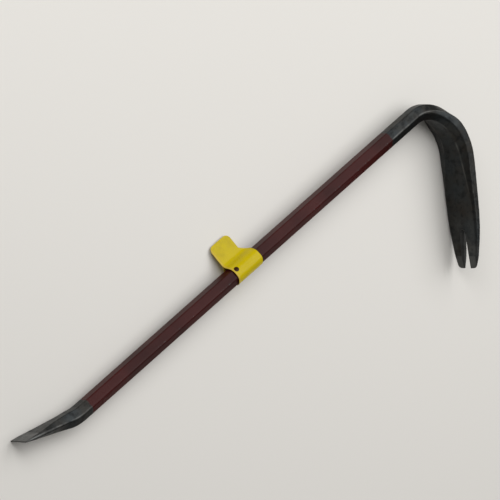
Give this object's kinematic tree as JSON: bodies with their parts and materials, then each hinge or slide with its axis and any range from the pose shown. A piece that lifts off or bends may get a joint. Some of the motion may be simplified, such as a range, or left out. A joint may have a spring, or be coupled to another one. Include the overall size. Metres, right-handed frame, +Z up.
{
  "type": "gooseneck wrecking bar",
  "caption": "Gooseneck wrecking bar of hexagon steel lying on its side, with a forked claw and nail slot, a bent chisel end and a flag tag that turns on the painted shank.",
  "frame": {"origin": "under the middle of the part's box, on the surface that the bar lies on, on its side", "axes": "+X along the shank from chisel to hook, the claw points to -Y and the chisel is set off to +Y, +Z up, square to the plane of the bend but for the 0.8 degrees that the bar leans from the wide claw down to the narrower chisel"},
  "size_m": [0.7614, 0.2414, 0.0502],
  "materials": {
    "painted_steel": "semi-gloss dark maroon paint on the shank, bare dark forged steel at claw and chisel",
    "yellow_film": "glossy yellow film"
  },
  "bodies": {
    "forging": {"bar": "painted_steel"},
    "tag": {"tag": "yellow_film"}
  },
  "joints": [
    {"name": "tag_turn", "type": "hinge", "parent": "forging", "child": "tag", "pos_m": [0.00813, 0.08248, 0.01968], "axis": [0.9999, 0, 0.0144], "continuous": true}
  ]
}
